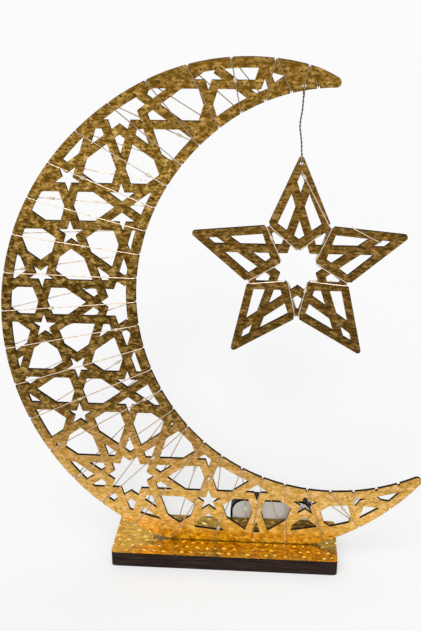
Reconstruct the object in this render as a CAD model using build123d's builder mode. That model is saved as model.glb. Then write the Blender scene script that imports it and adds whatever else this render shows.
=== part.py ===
# Crescent ornament: a fretwork crescent and a hanging star, cut from thin board with a gold foil face,
# on a slotted base board, wound with a string of lights that a small battery box feeds.
# The front looks along -Y, +Z is up, and the origin is the middle of the base's underside.
import os
from math import atan2, ceil, cos, degrees, hypot, radians, sin, sqrt, tan

from build123d import *

os.makedirs("parts", exist_ok=True)

# Boards: thin fibreboard with its laminated gold foil
panel_thickness = 2.1

# Base board
base_length = 134.5
base_depth = 43.6
base_thickness = 9.3
base_corner = 2.5
panel_setback = 16.8  # from the base's front edge to the panel's gold face
slot_left_room = 11.0  # slot left open beside the crescent
slot_right_room = 4.0

# Crescent outline: its outer edge and its bay are each a long left arc with tighter arcs at both ends
outer_radius = 151.3
crescent_insert = 7.0  # how far the crescent's lowest point stands in the slot
tip_rounding = 2.6
crescent_share = 0.1566  # the left arc's middle, right of the base's middle
upper_share = 0.817
lower_share = 0.8724
upper_start = 62.6  # degrees above the leftmost point
tip_arc_share = 0.3966  # the outer edge's last arc, at the upper tip
tip_arc_end = 77.0  # degrees about the upper arc's middle
lower_start = 42.2  # degrees below it
bay_share = 0.8026
bay_right_share = 0.3117
bay_up_share = 0.1095
bay_upper_share = 0.6404
bay_lower_share = 0.7241
bay_upper_end = 126.4  # degrees about the bay's middle, where the tighter arcs begin
bay_lower_end = 222.6
bay_ends = (20, 340)  # degrees, outside the crescent
arc_ends = (25, 330)  # degrees about the last arcs, inside the bay

# Ten-fold pattern of decagons, pentagons and barrels, drawn as straps
tile_share = 0.1454
pattern_left_share = 0.5314
pattern_up_share = 0.0939
strap_width = 4.6
border_width = 5.5
foot_band = 7.0  # plain band above the base
foot_share = 1.23
smallest_window = 2.5  # square millimetres
# Corners of the last windows before the two tips, which leave the pattern, from the left arc's middle
upper_tip_shares = [[(-0.014, 0.928), (0.0, 0.8943), (0.0325, 0.9176)]]
lower_tip_shares = [
    [(0.217, -0.757), (0.233, -0.808), (0.257, -0.825), (0.331, -0.803), (0.338, -0.778), (0.324, -0.725),
     (0.252, -0.730)],
    [(0.343, -0.693), (0.352, -0.729), (0.369, -0.702), (0.394, -0.691)],
    [(0.385, -0.725), (0.371, -0.782), (0.446, -0.731)],
    [(0.432, -0.681), (0.451, -0.696), (0.481, -0.700), (0.522, -0.656)],
]

# Star pendant, in tile edges
star_tip_share = 2.855
star_notch_share = 1.3136
star_border = 4.4
star_rounding = 1.6
star_hole_inset = 5.8  # from the sharp tip to the hanging hole

# Hanger
hanger_share = 0.0985  # the hanger, right of the left arc's middle
hanger_length = 39.56  # from the crescent's hole to the star's hole
hanger_hole = 2.0
hanger_edge = 2.2  # from the crescent's bay edge to its hole
eye_radius = 2.3
eye_wire = 0.8
eye_sides = 8
shank_diameter = 1.0
eye_play = 0.2

# Light wire
wire_diameter = 0.6
wire_gap = 0.15
wire_sides = 3
bend_radius = 0.75
inner_notches = 29
outer_notches = 26
inner_lead = 2  # inner notches nearer the lower tip than the first outer one
crescent_turns = 24
first_turn = 1  # outer notches left free at the lower tip
inner_first = 285.4  # degrees about the bay's middle
inner_step = 6.545
outer_first = 303.5  # degrees about the crescent's middle
outer_low_step = 9.27  # for the notches over the base, and then
outer_low_notches = 8
outer_step = 8.72
tip_notch_back = 2.0  # the notch at the upper tip, nearer its neighbour by this
edge_notch_width = 1.5
edge_notch_depth = 1.2
notch_seat = 0.3  # from the wire to the floor of its notch
hole_spread = 1.0  # half the space between two passes of the wire at the star's middle hole
notch_spread = 0.8  # and at the star's edge
star_wire_start = 3.5  # below the hanging hole
star_wire_end = 3.0  # short of the first notch

# Light drops
led_pitch = 100.0
led_length = 3.0
led_width = 1.8
led_height = 1.3
led_chamfer = 0.4
led_clear = 4.0  # least distance from a drop to a bend

# Battery box
box_x = 27.6
box_end_room = 4.5  # beside each cell
box_depth = 9.2
box_corner = 9.0
box_wall = 1.0
cavity_chamfer = 6.5
box_floor = 1.0
tape_thickness = 1.0
tape_length = 34.0
tape_margin = 1.2
plate_thickness = 0.8
plate_rim = 1.3
cover_thickness = 1.4
cover_travel = 12.0
cover_gap = 0.1
guide_height = 0.6
guide_width = 0.8
cell_diameter = 20.0
cell_thickness = 3.2
cell_spacing = 21.0
cell_shift = -2.0  # both cells, from the box's middle
contact_thickness = 0.3
contact_width = 6.0
terminal_length = 9.0
inner_gap = 0.1
switch_travel = 2.5
knob_length = 2.6
knob_width = 2.4
knob_height = 1.4
flange_length = 5.0
flange_width = 3.6
flange_thickness = 0.9
switch_play = 0.15

# Gland hole for the lead, which the photograph doesn't show
gland_hole = 1.2
gland_x = 13.0  # from the box's middle
seat_gap = 0.05

# Places worked out from the sizes above
panel_front = panel_setback - base_depth / 2
panel_back = panel_front + panel_thickness
panel_middle = (panel_front + panel_back) / 2
wire_radius = wire_diameter / 2
wire_front = panel_front - wire_radius - wire_gap
wire_back = panel_back + wire_radius + wire_gap
slot_width = panel_thickness + 2 * (wire_diameter + 2 * wire_gap)
slot_depth = crescent_insert + seat_gap
box_length = cell_spacing + cell_diameter + 2 * (box_end_room + box_wall)
box_height = cell_diameter + 2 * (box_wall + inner_gap)
upper_radius = outer_radius * upper_share
tip_arc_radius = outer_radius * tip_arc_share
lower_radius = outer_radius * lower_share
bay_radius = outer_radius * bay_share
bay_upper_radius = outer_radius * bay_upper_share
bay_lower_radius = outer_radius * bay_lower_share
foot_radius = outer_radius * foot_share
tile_edge = outer_radius * tile_share
star_tip_radius = tile_edge * star_tip_share
star_notch_radius = tile_edge * star_notch_share
star_hole_radius = star_tip_radius - star_hole_inset


def polar(radius, angle):
    return Vector(radius * cos(radians(angle)), radius * sin(radians(angle)))


upper_offset = polar(outer_radius - upper_radius, 180 - upper_start)
lower_offset = polar(outer_radius - lower_radius, 180 + lower_start)
crescent_z = base_thickness - crescent_insert + lower_radius - lower_offset.Y
centre = Vector(outer_radius * crescent_share, crescent_z)
upper = centre + upper_offset
bay = centre + Vector(bay_right_share, bay_up_share) * outer_radius
bay_upper = bay + polar(bay_radius - bay_upper_radius, bay_upper_end)
bay_lower = bay + polar(bay_radius - bay_lower_radius, bay_lower_end)
pattern = centre + Vector(-pattern_left_share, pattern_up_share) * outer_radius
foot = Vector(centre.X + lower_offset.X, base_thickness + foot_band + foot_radius)
hanger_x = centre.X + outer_radius * hanger_share

# The slot takes the crescent's width at the base's top, with some room at each end
slot_half = sqrt(lower_radius**2 - (lower_radius - crescent_insert) ** 2)
slot_x = centre.X + lower_offset.X + (slot_right_room - slot_left_room) / 2
slot_length = 2 * slot_half + slot_left_room + slot_right_room

hanger_z = bay_upper.Y + sqrt(bay_upper_radius**2 - (hanger_x - bay_upper.X) ** 2) + hanger_edge
star = Vector(hanger_x, hanger_z - hanger_length - star_hole_radius)

decagon_inradius = tile_edge / 2 / tan(radians(18))
decagon_radius = tile_edge / 2 / sin(radians(18))
pentagon_inradius = tile_edge / 2 / tan(radians(36))
golden = (1 + sqrt(5)) / 2
tip_radius = decagon_inradius / (2 * cos(radians(18)))
notch_radius = decagon_inradius / golden**2
corner_notch = 2 * tile_edge / 2 * sin(radians(36))
barrel_height = tile_edge * sin(radians(72))
lattice_step = tile_edge * golden**3


def inset(points, distance):
    """The corners of a counter-clockwise polygon after each side moves in by the distance."""
    corners = []
    for before, here, after in zip(points[-1:] + points[:-1], points, points[1:] + points[:1]):
        first = (here - before).normalized()
        second = (after - here).normalized()
        normal_1 = Vector(-first.Y, first.X)
        normal_2 = Vector(-second.Y, second.X)
        corners.append(here + (normal_1 + normal_2) * (distance / (1 + normal_1.dot(normal_2))))
    return corners


def flat(points):
    return [(p.X, p.Y) for p in points]


# Cells of the pattern, each about its own reference point
half_strap = strap_width / 2
ten_star = [polar(tip_radius if k % 2 == 0 else notch_radius, 18 * k) for k in range(20)]
kite = [polar(notch_radius, 0), polar(tip_radius, -18), polar(decagon_inradius, 0), polar(tip_radius, 18)]
pentagram = [polar(pentagon_inradius / (1 if k % 2 == 0 else golden**2), 180 + 36 * k) for k in range(10)]
petal = [
    polar(tip_radius, 180),
    polar(tile_edge / 2, -108),
    polar(corner_notch, -54),
    polar(tile_edge / 2, 0),
    polar(corner_notch, 54),
    polar(tile_edge / 2, 108),
]
barrel_corner = Vector(tile_edge / 2, barrel_height)
barrel_notch = barrel_corner + polar(corner_notch, 234)
barrel_side = barrel_corner + polar(tile_edge / 2, -72)
arrow = [
    Vector(0, barrel_height),
    Vector(-barrel_notch.X, barrel_notch.Y),
    Vector(-barrel_side.X, barrel_side.Y),
    Vector(0, 0),
    barrel_side,
    barrel_notch,
]


def near_crescent(point):
    """Whether a cell at this point can reach the crescent."""
    inside = (point - centre).length < outer_radius + tile_edge
    return inside and (point - bay).length > bay_radius - tile_edge


def turned(points):
    """Locations from (point, angle) pairs."""
    return [Location((p.X, p.Y, 0), (0, 0, angle)) for p, angle in points]


lattice_reach = ceil(2 * outer_radius / lattice_step) + 1
decagons = []
for i in range(-lattice_reach, lattice_reach + 1):
    for j in range(-lattice_reach, lattice_reach + 1):
        decagons.append(pattern + polar(lattice_step * i, 36) + polar(lattice_step * j, -36))
barrels = [d + Vector(0, decagon_inradius + barrel_height) for d in decagons]
waist = tile_edge * cos(radians(36))

star_places = [(d, 0) for d in decagons]
kite_places = [(d, 18 + 36 * k) for d in decagons for k in range(10)]
petal_places = [(d + polar(decagon_radius, 36 * k), 36 * k) for d in decagons for k in range(10)]
petal_places += [(b + polar(waist, side), side) for b in barrels for side in (0, 180)]
pentagon_angles = (18, 54, -18, -54)
penta_reach = decagon_inradius + pentagon_inradius
penta_places = [(d + polar(penta_reach, a), a) for d in decagons for a in pentagon_angles]
arrow_places = [(b, side) for b in barrels for side in (0, 180)]
cells = [
    (ten_star, star_places),
    (kite, kite_places),
    (petal, petal_places),
    (pentagram, penta_places),
    (arrow, arrow_places),
]


# Each edge as tangent arcs: (middle, radius, last angle about that middle)
outer_arcs = [
    (upper + polar(upper_radius - tip_arc_radius, tip_arc_end), tip_arc_radius, tip_arc_end),
    (upper, upper_radius, 180 - upper_start),
    (centre, outer_radius, 180 + lower_start),
    (centre + lower_offset, lower_radius, arc_ends[1]),
]
bay_arcs = [
    (bay_upper, bay_upper_radius, bay_upper_end),
    (bay, bay_radius, bay_lower_end),
    (bay_lower, bay_lower_radius, bay_ends[1]),
]


def arc_runs(arcs, first, margin):
    """Middle, radius, first angle and sweep of each arc of an edge whose radii grow by the margin."""
    runs = []
    for middle, radius, last in arcs:
        runs.append(((middle.X, middle.Y), radius + margin, first, last - first))
        first = last
    return runs


def arc_end(middle, arc):
    """The direction from the edge's middle in which an arc of the edge ends."""
    arc_middle, radius, last = arc
    end = arc_middle + polar(radius, last) - middle
    return degrees(atan2(end.Y, end.X)) % 360


def edge_place(middle, arcs, angle):
    """The point of an edge in this direction from its middle, and the edge's outward direction there."""
    arc_middle, radius, _ = next(arc for arc in arcs if angle < arc_end(middle, arc))
    offset = arc_middle - middle
    direction = polar(1, angle)
    along = direction.dot(offset)
    reach = along + sqrt(along**2 - offset.length**2 + radius**2)
    point = middle + direction * reach
    return point, (point - arc_middle).normalized()


def outer_edge(angle, margin=0.0):
    """A point of the outer edge, moved in by the margin."""
    point, outward = edge_place(centre, outer_arcs, angle)
    return point - outward * margin


def bay_edge(angle, margin=0.0):
    """A point of the bay's edge, moved into the board by the margin."""
    point, outward = edge_place(bay, bay_arcs, angle)
    return point + outward * margin


def notch_place(middle, arcs, angle):
    point, outward = edge_place(middle, arcs, angle)
    return point, degrees(atan2(outward.Y, outward.X))


# Outline of the crescent with its round tips
with BuildSketch() as crescent_outline:
    with BuildLine():
        outer = [CenterArc(*run) for run in arc_runs(outer_arcs, arc_ends[0], 0)]
        Polyline(outer[-1] @ 1, (bay.X, bay.Y), outer[0] @ 0)
    make_face()
    with BuildSketch(mode=Mode.SUBTRACT):
        with BuildLine():
            inner = [CenterArc(*run) for run in arc_runs(bay_arcs, bay_ends[0], 0)]
            Line(inner[-1] @ 1, inner[0] @ 0)
        make_face()
    fillet(crescent_outline.vertices().sort_by(Axis.X)[-2:], tip_rounding)

# Windows: the pattern's cells, less half a strap, inside the border
with BuildSketch() as crescent_windows:
    for points, places in cells:
        near = [place for place in places if near_crescent(place[0])]
        with Locations(*turned(near)):
            Polygon(*flat(inset(points, half_strap)), align=None)
    with BuildSketch(mode=Mode.INTERSECT):
        with BuildLine():
            outer = [CenterArc(*run) for run in arc_runs(outer_arcs, arc_ends[0], -border_width)]
            Polyline(outer[-1] @ 1, (bay.X, bay.Y), outer[0] @ 0)
        make_face()
        with BuildSketch(mode=Mode.SUBTRACT):
            with BuildLine():
                inner = [CenterArc(*run) for run in arc_runs(bay_arcs, bay_ends[0], border_width)]
                Line(inner[-1] @ 1, inner[0] @ 0)
            make_face()
    with Locations((foot.X, foot.Y)):
        Circle(foot_radius, mode=Mode.INTERSECT)


def tip_corners(shares):
    return [centre + Vector(*share) * outer_radius for share in shares]


upper_windows = [tip_corners(shares) for shares in upper_tip_shares]
lower_windows = [tip_corners(shares) for shares in lower_tip_shares]
upper_limit = min(corner.X for window in upper_windows for corner in window)
lower_limit = min(corner.X for window in lower_windows for corner in window)
with BuildSketch() as tip_windows:
    for window in upper_windows + lower_windows:
        Polygon(*flat(window), align=None)


def in_pattern(window):
    """Whether a window of the pattern lies left of the tips' own windows."""
    middle = window.center()
    return middle.X < (upper_limit if middle.Y > centre.Y else lower_limit)


window_faces = [f for f in crescent_windows.sketch.faces() if f.area > smallest_window and in_pattern(f)]
window_faces += tip_windows.sketch.faces()

# Notches that hold the wire, along both edges, and the hanger's hole
inner_angles = [inner_first - inner_step * j for j in range(inner_notches)]
outer_angles = [outer_first - outer_low_step * j for j in range(outer_low_notches)]
outer_turn = outer_first - outer_low_step * outer_low_notches
outer_angles += [outer_turn - outer_step * j for j in range(outer_notches - outer_low_notches)]
outer_angles[-1] += tip_notch_back
notch_places = [notch_place(centre, outer_arcs, a) for a in outer_angles]
notch_places += [notch_place(bay, bay_arcs, a) for a in inner_angles]
with BuildSketch() as crescent_cuts:
    with Locations(*turned(notch_places)):
        Rectangle(2 * edge_notch_depth, edge_notch_width)
    with Locations((hanger_x, hanger_z)):
        Circle(hanger_hole / 2)


def panel_plane(y):
    """A plane that faces the front, with its first axis along X and its second along Z."""
    return Plane(origin=(0, y, 0), x_dir=(1, 0, 0), z_dir=(0, -1, 0))


with BuildSketch() as crescent_face:
    add(crescent_outline.sketch)
    add(window_faces, mode=Mode.SUBTRACT)
    add(crescent_cuts.sketch, mode=Mode.SUBTRACT)

with BuildPart() as crescent_board:
    with BuildSketch(panel_plane(panel_back)):
        add(crescent_face.sketch)
    extrude(amount=panel_thickness)
crescent_board.part.label = "crescent_board"
export_step(crescent_board.part, "parts/crescent_board.step")

# Base board with the slot that the crescent stands in
with BuildPart() as base_board:
    with BuildSketch():
        RectangleRounded(base_length, base_depth, base_corner)
    extrude(amount=base_thickness)
    with BuildSketch(Plane.XY.offset(base_thickness)):
        with Locations((slot_x, panel_middle)):
            Rectangle(slot_length, slot_width)
    extrude(amount=-slot_depth, mode=Mode.SUBTRACT)
base_board.part.label = "base_board"
export_step(base_board.part, "parts/base_board.step")

# Star: the pattern's rosette, carried on into five arms
star_sharp = [polar(star_tip_radius if k % 2 == 0 else star_notch_radius, 90 + 36 * k) for k in range(10)]
star_inner = inset(star_sharp, star_border)
arm_line = (polar(decagon_inradius, 0) - polar(tip_radius, 18)).normalized() * star_tip_radius
arm_side = Vector(arm_line.X, -arm_line.Y)
arm_cross = polar(decagon_inradius, 0)
arm_tip_cell = [arm_cross, arm_cross + arm_line, arm_cross + arm_side]
star_petal = [
    polar(tip_radius, 0),
    polar(decagon_inradius, -18),
    polar(decagon_inradius, -18) + polar(star_tip_radius, 0),
    polar(decagon_inradius, 18) + polar(star_tip_radius, 0),
    polar(decagon_inradius, 18),
]
star_cells = [
    (ten_star, [0]),
    (kite, [18 + 36 * k for k in range(10)]),
    (star_petal, [36 * k for k in range(10)]),
    (arm_tip_cell, [18 + 72 * k for k in range(5)]),
]

with BuildSketch() as star_outline:
    Polygon(*flat(star_sharp), align=None)
    star_tips = star_outline.vertices().sort_by_distance((0, 0))[-5:]
    fillet(star_tips, star_rounding)

with BuildSketch() as star_windows:
    for points, angles in star_cells:
        with Locations(*[Location((0, 0, 0), (0, 0, angle)) for angle in angles]):
            Polygon(*flat(inset(points, half_strap)), align=None)
    Polygon(*flat(star_inner), align=None, mode=Mode.INTERSECT)
star_window_faces = [f for f in star_windows.sketch.faces() if f.area > smallest_window]

star_notch_width = edge_notch_width + 2 * notch_spread
star_notches = [54 + 72 * k for k in range(5)]
with BuildSketch() as star_face:
    add(star_outline.sketch)
    add(star_window_faces, mode=Mode.SUBTRACT)
    with Locations(*turned([(polar(star_notch_radius, a), a) for a in star_notches])):
        Rectangle(2 * edge_notch_depth, star_notch_width, mode=Mode.SUBTRACT)
    with Locations((0, star_hole_radius)):
        Circle(hanger_hole / 2, mode=Mode.SUBTRACT)


def star_plane(y):
    return Plane(origin=(star.X, y, star.Y), x_dir=(1, 0, 0), z_dir=(0, -1, 0))


with BuildPart() as star_board:
    with BuildSketch(star_plane(panel_back)):
        add(star_face.sketch)
    extrude(amount=panel_thickness)
star_board.part.label = "star_board"
export_step(star_board.part, "parts/star_board.step")


def at(point, y):
    return Vector(point.X, y, point.Y)


# Winding of the crescent: across the front to the outer edge, and slanting back behind to the bay
pass_depth = edge_notch_depth - notch_seat - wire_radius
inner_passes = [bay_edge(a, pass_depth) for a in inner_angles[inner_lead:]]
outer_passes = [outer_edge(a, pass_depth) for a in outer_angles]
last_turn = first_turn + crescent_turns - 1
crescent_route = [at(outer_edge(outer_angles[first_turn - 1], border_width / 2), wire_back)]
for j in range(first_turn, last_turn + 1):
    crescent_route.append(at(inner_passes[j], wire_back))
    crescent_route.append(at(inner_passes[j], wire_front))
    crescent_route.append(at(outer_passes[j], wire_front))
    crescent_route.append(at(outer_passes[j], wire_back))
crescent_route.append(at(bay_edge(inner_angles[inner_lead + last_turn + 1], border_width / 2), wire_back))

# Winding of the star: from the hanging hole down the front, and round each notch and the middle hole
hole_corner = inset(ten_star, half_strap)[1].length
hole_pass = hole_corner + hole_spread * tan(radians(36)) - (wire_radius + notch_seat) / cos(radians(36))
star_route = [at(star + Vector(0, star_hole_radius - star_wire_start), wire_front)]


def star_pass(radius, angle, spread):
    return star + polar(radius, angle) + polar(spread, angle + 90)


for k in range(5):
    notch_angle = 54 - 72 * k
    hole_angle = 18 - 72 * k
    for side in (1, -1):
        notch_point = star_pass(star_notch_radius - pass_depth, notch_angle, side * notch_spread)
        hole_point = star_pass(hole_pass, hole_angle, side * hole_spread)
        star_route.append(at(notch_point, wire_front))
        star_route.append(at(notch_point, wire_back))
        star_route.append(at(hole_point, wire_back))
        star_route.append(at(hole_point, wire_front))
first_notch = star_route[1]
last_run = first_notch - star_route[-1]
star_route.append(first_notch - last_run.normalized() * (star_wire_end + star_notch_width))


def wire_report(name, solid, line):
    """Print the wire's volume against its section times its length, and its least gap to itself."""
    section = wire_sides / 2 * wire_radius**2 * sin(radians(360 / wire_sides))
    points = []
    travelled = 0.0
    last = line @ 0
    for edge in line.order_edges():
        ends = (edge @ 0, edge @ 1)
        forward = (ends[0] - last).length < (ends[1] - last).length
        count = max(2, ceil(edge.length / wire_radius))
        for i in range(count):
            share = i / count
            points.append((travelled + edge.length * share, edge @ (share if forward else 1 - share)))
        travelled += edge.length
        last = ends[1] if forward else ends[0]
    print(name, "volume ratio", round(solid.volume / (section * travelled), 4))
    cells_of = {}
    size = 4 * wire_diameter
    for s, p in points:
        cells_of.setdefault((round(p.X / size), round(p.Y / size), round(p.Z / size)), []).append((s, p))
    apart = 3.2 * bend_radius + panel_thickness
    least = size
    for (cx, cy, cz), here in cells_of.items():
        near = []
        for dx in (-1, 0, 1):
            for dy in (-1, 0, 1):
                for dz in (-1, 0, 1):
                    near += cells_of.get((cx + dx, cy + dy, cz + dz), [])
        for s, p in here:
            for t, q in near:
                if t - s > apart:
                    least = min(least, (p - q).length)
    print(name, "least gap to itself is at least", round(least - wire_diameter, 2), "mm")


with BuildPart() as crescent_winding:
    with BuildLine():
        crescent_path = FilletPolyline(*crescent_route, radius=bend_radius)
    with BuildSketch(Plane(origin=crescent_path @ 0, z_dir=crescent_path % 0)):
        RegularPolygon(wire_radius, wire_sides)
    sweep(path=crescent_path)
crescent_winding.part.label = "crescent_winding"
export_step(crescent_winding.part, "parts/crescent_winding.step")
wire_report("crescent_winding", crescent_winding.part, crescent_path)

with BuildPart() as star_winding:
    with BuildLine():
        star_path = FilletPolyline(*star_route, radius=bend_radius)
    with BuildSketch(Plane(origin=star_path @ 0, z_dir=star_path % 0)):
        RegularPolygon(wire_radius, wire_sides)
    sweep(path=star_path)
star_winding.part.label = "star_winding"
export_step(star_winding.part, "parts/star_winding.step")
wire_report("star_winding", star_winding.part, star_path)


# Light drops sit on the wire's outer side, a set distance apart along its runs
def led_planes(route, pitch, first):
    planes = []
    travelled = 0.0
    due = first
    for start, end in zip(route[:-1], route[1:]):
        length = (end - start).length
        while due < travelled + length:
            along = min(max(due - travelled, led_clear), length - led_clear)
            if abs(end.Y - start.Y) < wire_diameter and length > 2 * led_clear:
                point = start + (end - start).normalized() * along
                if point.Z < base_thickness + led_clear:
                    point = (start + end) / 2
                outward = -1 if point.Y < panel_middle else 1
                seat = point + Vector(0, outward * (wire_radius + seat_gap), 0)
                planes.append(Plane(origin=seat, x_dir=end - start, z_dir=(0, outward, 0)))
            due += pitch
        travelled += length
    return planes


with BuildPart() as crescent_leds:
    with BuildSketch(*led_planes(crescent_route, led_pitch, led_pitch / 2)):
        Rectangle(led_length, led_width)
    extrude(amount=led_height)
    upward = crescent_leds.faces().filter_by(Axis.Y).sort_by(Axis.Y)
    tops = [f for f in upward if abs(abs(f.center().Y - panel_middle) - panel_thickness / 2) > led_height]
    chamfer([e for f in tops for e in f.edges()], led_chamfer)
crescent_leds.part.label = "crescent_leds"
export_step(crescent_leds.part, "parts/crescent_leds.step")
print("crescent drops", len(crescent_leds.part.solids()))

star_led_places = led_planes(star_route, 2 * led_pitch, led_clear)
with BuildPart() as star_leds:
    with BuildSketch(*star_led_places):
        Rectangle(led_length, led_width)
    extrude(amount=led_height)
    upward = star_leds.faces().filter_by(Axis.Y).sort_by(Axis.Y)
    tops = [f for f in upward if abs(abs(f.center().Y - panel_middle) - panel_thickness / 2) > led_height]
    chamfer([e for f in tops for e in f.edges()], led_chamfer)
star_leds.part.label = "star_leds"
export_step(star_leds.part, "parts/star_leds.step")
print("star drops", len(star_leds.part.solids()))

# Hanger: a ring through the crescent's hole, and a shank with a ring through the star's hole
upper_eye_z = hanger_z - eye_radius
lower_eye_z = hanger_z - hanger_length + eye_radius
eye_outer = eye_radius + eye_wire / 2
eye_inner = eye_radius - eye_wire / 2


def eye_plane(z):
    return Plane(origin=(hanger_x - eye_wire / 2, panel_middle, z), x_dir=(0, 1, 0), z_dir=(1, 0, 0))


with BuildPart() as hanger_eye:
    with BuildSketch(eye_plane(upper_eye_z)):
        RegularPolygon(eye_outer, eye_sides, major_radius=False, rotation=180 / eye_sides)
        RegularPolygon(eye_inner, eye_sides, major_radius=False, rotation=180 / eye_sides, mode=Mode.SUBTRACT)
    extrude(amount=eye_wire)
hanger_eye.part.label = "hanger_eye"
export_step(hanger_eye.part, "parts/hanger_eye.step")

shank_top = upper_eye_z - eye_outer - eye_play
shank_bottom = lower_eye_z + eye_radius
with BuildPart() as hanger_wire:
    with BuildSketch(eye_plane(lower_eye_z)):
        RegularPolygon(eye_outer, eye_sides, major_radius=False, rotation=180 / eye_sides)
        RegularPolygon(eye_inner, eye_sides, major_radius=False, rotation=180 / eye_sides, mode=Mode.SUBTRACT)
    extrude(amount=eye_wire)
    with BuildSketch(Plane.XY.offset(shank_bottom)):
        with Locations((hanger_x, panel_middle)):
            RegularPolygon(shank_diameter / 2, eye_sides)
    extrude(amount=shank_top - shank_bottom)
hanger_wire.part.label = "hanger_wire"
export_step(hanger_wire.part, "parts/hanger_wire.step")

# Battery box on the base's rear edge, standing on the same surface
box_front = base_depth / 2 + tape_thickness
box_rear = box_front + box_depth
body_rear = box_rear - cover_thickness - cover_gap
floor_front = box_front + plate_thickness
cavity_front = floor_front + box_floor
cavity_top = box_height - box_wall
cavity_length = box_length - 2 * box_wall
cavity_height = box_height - 2 * box_wall
cells_x = box_x + cell_shift
cavity_middle = (cavity_front + body_rear) / 2
switch_slot = knob_length + switch_travel + 2 * switch_play


def box_plane(y):
    """Faces the rear, so that a positive extrusion goes back, about the middle of the box."""
    return Plane(origin=(box_x, y, box_height / 2), x_dir=(-1, 0, 0), z_dir=(0, 1, 0))


with BuildPart() as battery_body:
    with BuildSketch(box_plane(box_front)):
        RectangleRounded(box_length, box_height, box_corner)
    extrude(amount=body_rear - box_front)
    with BuildSketch(box_plane(box_front)):
        RectangleRounded(box_length - 2 * plate_rim, box_height - 2 * plate_rim, box_corner - plate_rim)
    extrude(amount=plate_thickness, mode=Mode.SUBTRACT)
    with BuildSketch(box_plane(cavity_front)) as cavity:
        Rectangle(cavity_length, cavity_height)
        chamfer(cavity.vertices(), cavity_chamfer)
    extrude(amount=body_rear - cavity_front, mode=Mode.SUBTRACT)
    with BuildSketch(Plane.XY.offset(box_height)):
        with Locations((cells_x, cavity_middle)):
            Rectangle(switch_slot, knob_width + 2 * switch_play)
        with Locations((box_x + gland_x, cavity_middle)):
            Circle(gland_hole / 2)
    extrude(amount=-2 * box_wall, mode=Mode.SUBTRACT)
battery_body.part.label = "battery_body"
export_step(battery_body.part, "parts/battery_body.step")

plate_margin = plate_rim + inner_gap
with BuildPart() as front_plate:
    with BuildSketch(box_plane(box_front)):
        plate_size = (box_length - 2 * plate_margin, box_height - 2 * plate_margin)
        RectangleRounded(*plate_size, box_corner - plate_margin)
    extrude(amount=plate_thickness)
front_plate.part.label = "front_plate"
export_step(front_plate.part, "parts/front_plate.step")

# The cover's two guides run inside the top and bottom walls and leave room for its travel
guide_room = box_length - 2 * box_corner - cover_travel
guide_length = guide_room - 2 * inner_gap
guide_z = cavity_height / 2 - inner_gap - guide_width / 2
cover_front = box_rear - cover_thickness
with BuildPart() as battery_cover:
    with BuildSketch(box_plane(cover_front)):
        RectangleRounded(box_length, box_height, box_corner)
    extrude(amount=cover_thickness)
    with BuildSketch(box_plane(cover_front)):
        with Locations((cover_travel / 2, guide_z), (cover_travel / 2, -guide_z)):
            Rectangle(guide_length, guide_width)
    extrude(amount=-guide_height)
battery_cover.part.label = "battery_cover"
export_step(battery_cover.part, "parts/battery_cover.step")

with BuildPart() as mounting_tape:
    with BuildSketch(Plane.XZ.offset(-base_depth / 2)):
        with Locations((box_x, base_thickness / 2)):
            Rectangle(tape_length, base_thickness - 2 * tape_margin)
    extrude(amount=-tape_thickness)
mounting_tape.part.label = "mounting_tape"
export_step(mounting_tape.part, "parts/mounting_tape.step")

# Two coin cells side by side on a link, with a terminal on the back of each
cell_front = cavity_front + contact_thickness + seat_gap
cell_back = cell_front + cell_thickness
cell_reach = cell_spacing / 2
with BuildPart() as left_cell:
    with BuildSketch(box_plane(cell_front)):
        with Locations((cell_reach - cell_shift, 0)):
            Circle(cell_diameter / 2)
    extrude(amount=cell_thickness)
left_cell.part.label = "left_cell"
export_step(left_cell.part, "parts/left_cell.step")

with BuildPart() as right_cell:
    with BuildSketch(box_plane(cell_front)):
        with Locations((-cell_reach - cell_shift, 0)):
            Circle(cell_diameter / 2)
    extrude(amount=cell_thickness)
right_cell.part.label = "right_cell"
export_step(right_cell.part, "parts/right_cell.step")

with BuildPart() as cell_link:
    with BuildSketch(box_plane(cavity_front)):
        with Locations((-cell_shift, 0)):
            Rectangle(cell_spacing + contact_width, contact_width)
    extrude(amount=contact_thickness)
cell_link.part.label = "cell_link"
export_step(cell_link.part, "parts/cell_link.step")

# Each terminal stands on the box's floor beside its cell and reaches over the cell's back
terminal_back = cell_back + seat_gap + contact_thickness
terminal_reach = cell_spacing / 2 + cell_diameter / 2 + inner_gap + contact_thickness
terminal_z = box_height / 2 - contact_width / 2


def terminal_points(x, way):
    """Outline of a terminal that stands at x and reaches the given way over its cell."""
    inner = terminal_back - contact_thickness
    return [
        (x, cavity_front),
        (x, terminal_back),
        (x + way * terminal_length, terminal_back),
        (x + way * terminal_length, inner),
        (x + way * contact_thickness, inner),
        (x + way * contact_thickness, cavity_front),
    ]


with BuildPart() as left_terminal:
    with BuildSketch(Plane.XY.offset(terminal_z)):
        Polygon(*terminal_points(cells_x - terminal_reach, 1), align=None)
    extrude(amount=contact_width)
left_terminal.part.label = "left_terminal"
export_step(left_terminal.part, "parts/left_terminal.step")

with BuildPart() as right_terminal:
    with BuildSketch(Plane.XY.offset(terminal_z)):
        Polygon(*terminal_points(cells_x + terminal_reach, -1), align=None)
    extrude(amount=contact_width)
right_terminal.part.label = "right_terminal"
export_step(right_terminal.part, "parts/right_terminal.step")

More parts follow.
